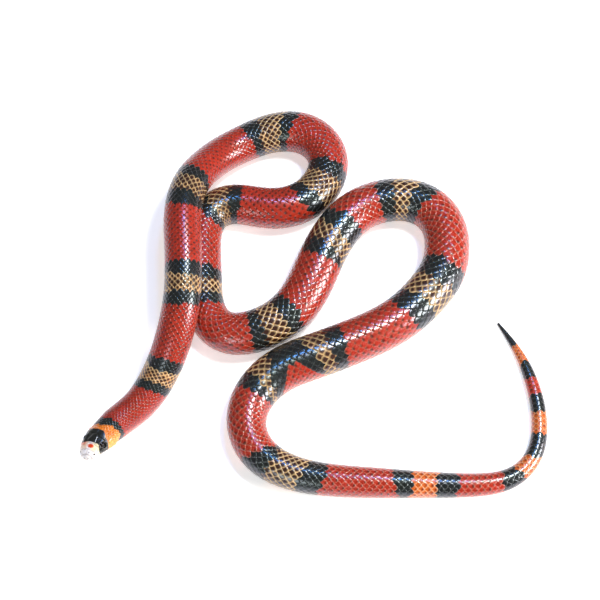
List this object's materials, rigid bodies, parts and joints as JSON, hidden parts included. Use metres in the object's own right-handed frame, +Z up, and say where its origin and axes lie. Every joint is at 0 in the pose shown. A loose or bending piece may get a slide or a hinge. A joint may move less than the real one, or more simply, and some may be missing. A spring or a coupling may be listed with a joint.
{
  "type": "milk snake",
  "caption": "Life-size still museum model of a banded milk snake lying in loose coils, its neck resting over its own body and its head just off the ground",
  "frame": {"origin": "on the ground under the middle of the outline's box", "axes": "+X runs from the head's side of the coils to the tail's side, the longest way across the model; +Y points to the far side of the coils, away from the snout; +Z is up from the ground that the belly lies on"},
  "size_m": [0.2451, 0.2234, 0.0387],
  "materials": {
    "scales": "glossy overlapping scales in rings of red, black and golden cream",
    "head_scales": "glossy smooth plates, black cap with a pale snout",
    "jaw_scales": "glossy smooth plates, pale with dark joints",
    "eye": "wet gloss"
  },
  "bodies": {
    "root": {"head": "head_scales", "lower_jaw": "jaw_scales", "eye_left": "eye", "eye_right": "eye", "neck": "scales", "body_01": "scales", "body_02": "scales", "body_03": "scales", "body_04": "scales", "body_05": "scales", "body_06": "scales", "body_07": "scales", "body_08": "scales", "body_09": "scales", "body_10": "scales", "body_11": "scales", "body_12": "scales", "body_13": "scales", "body_14": "scales", "body_15": "scales", "body_16": "scales", "body_17": "scales", "body_18": "scales", "tail_base": "scales", "tail_tip": "scales"}
  },
  "joints": []
}
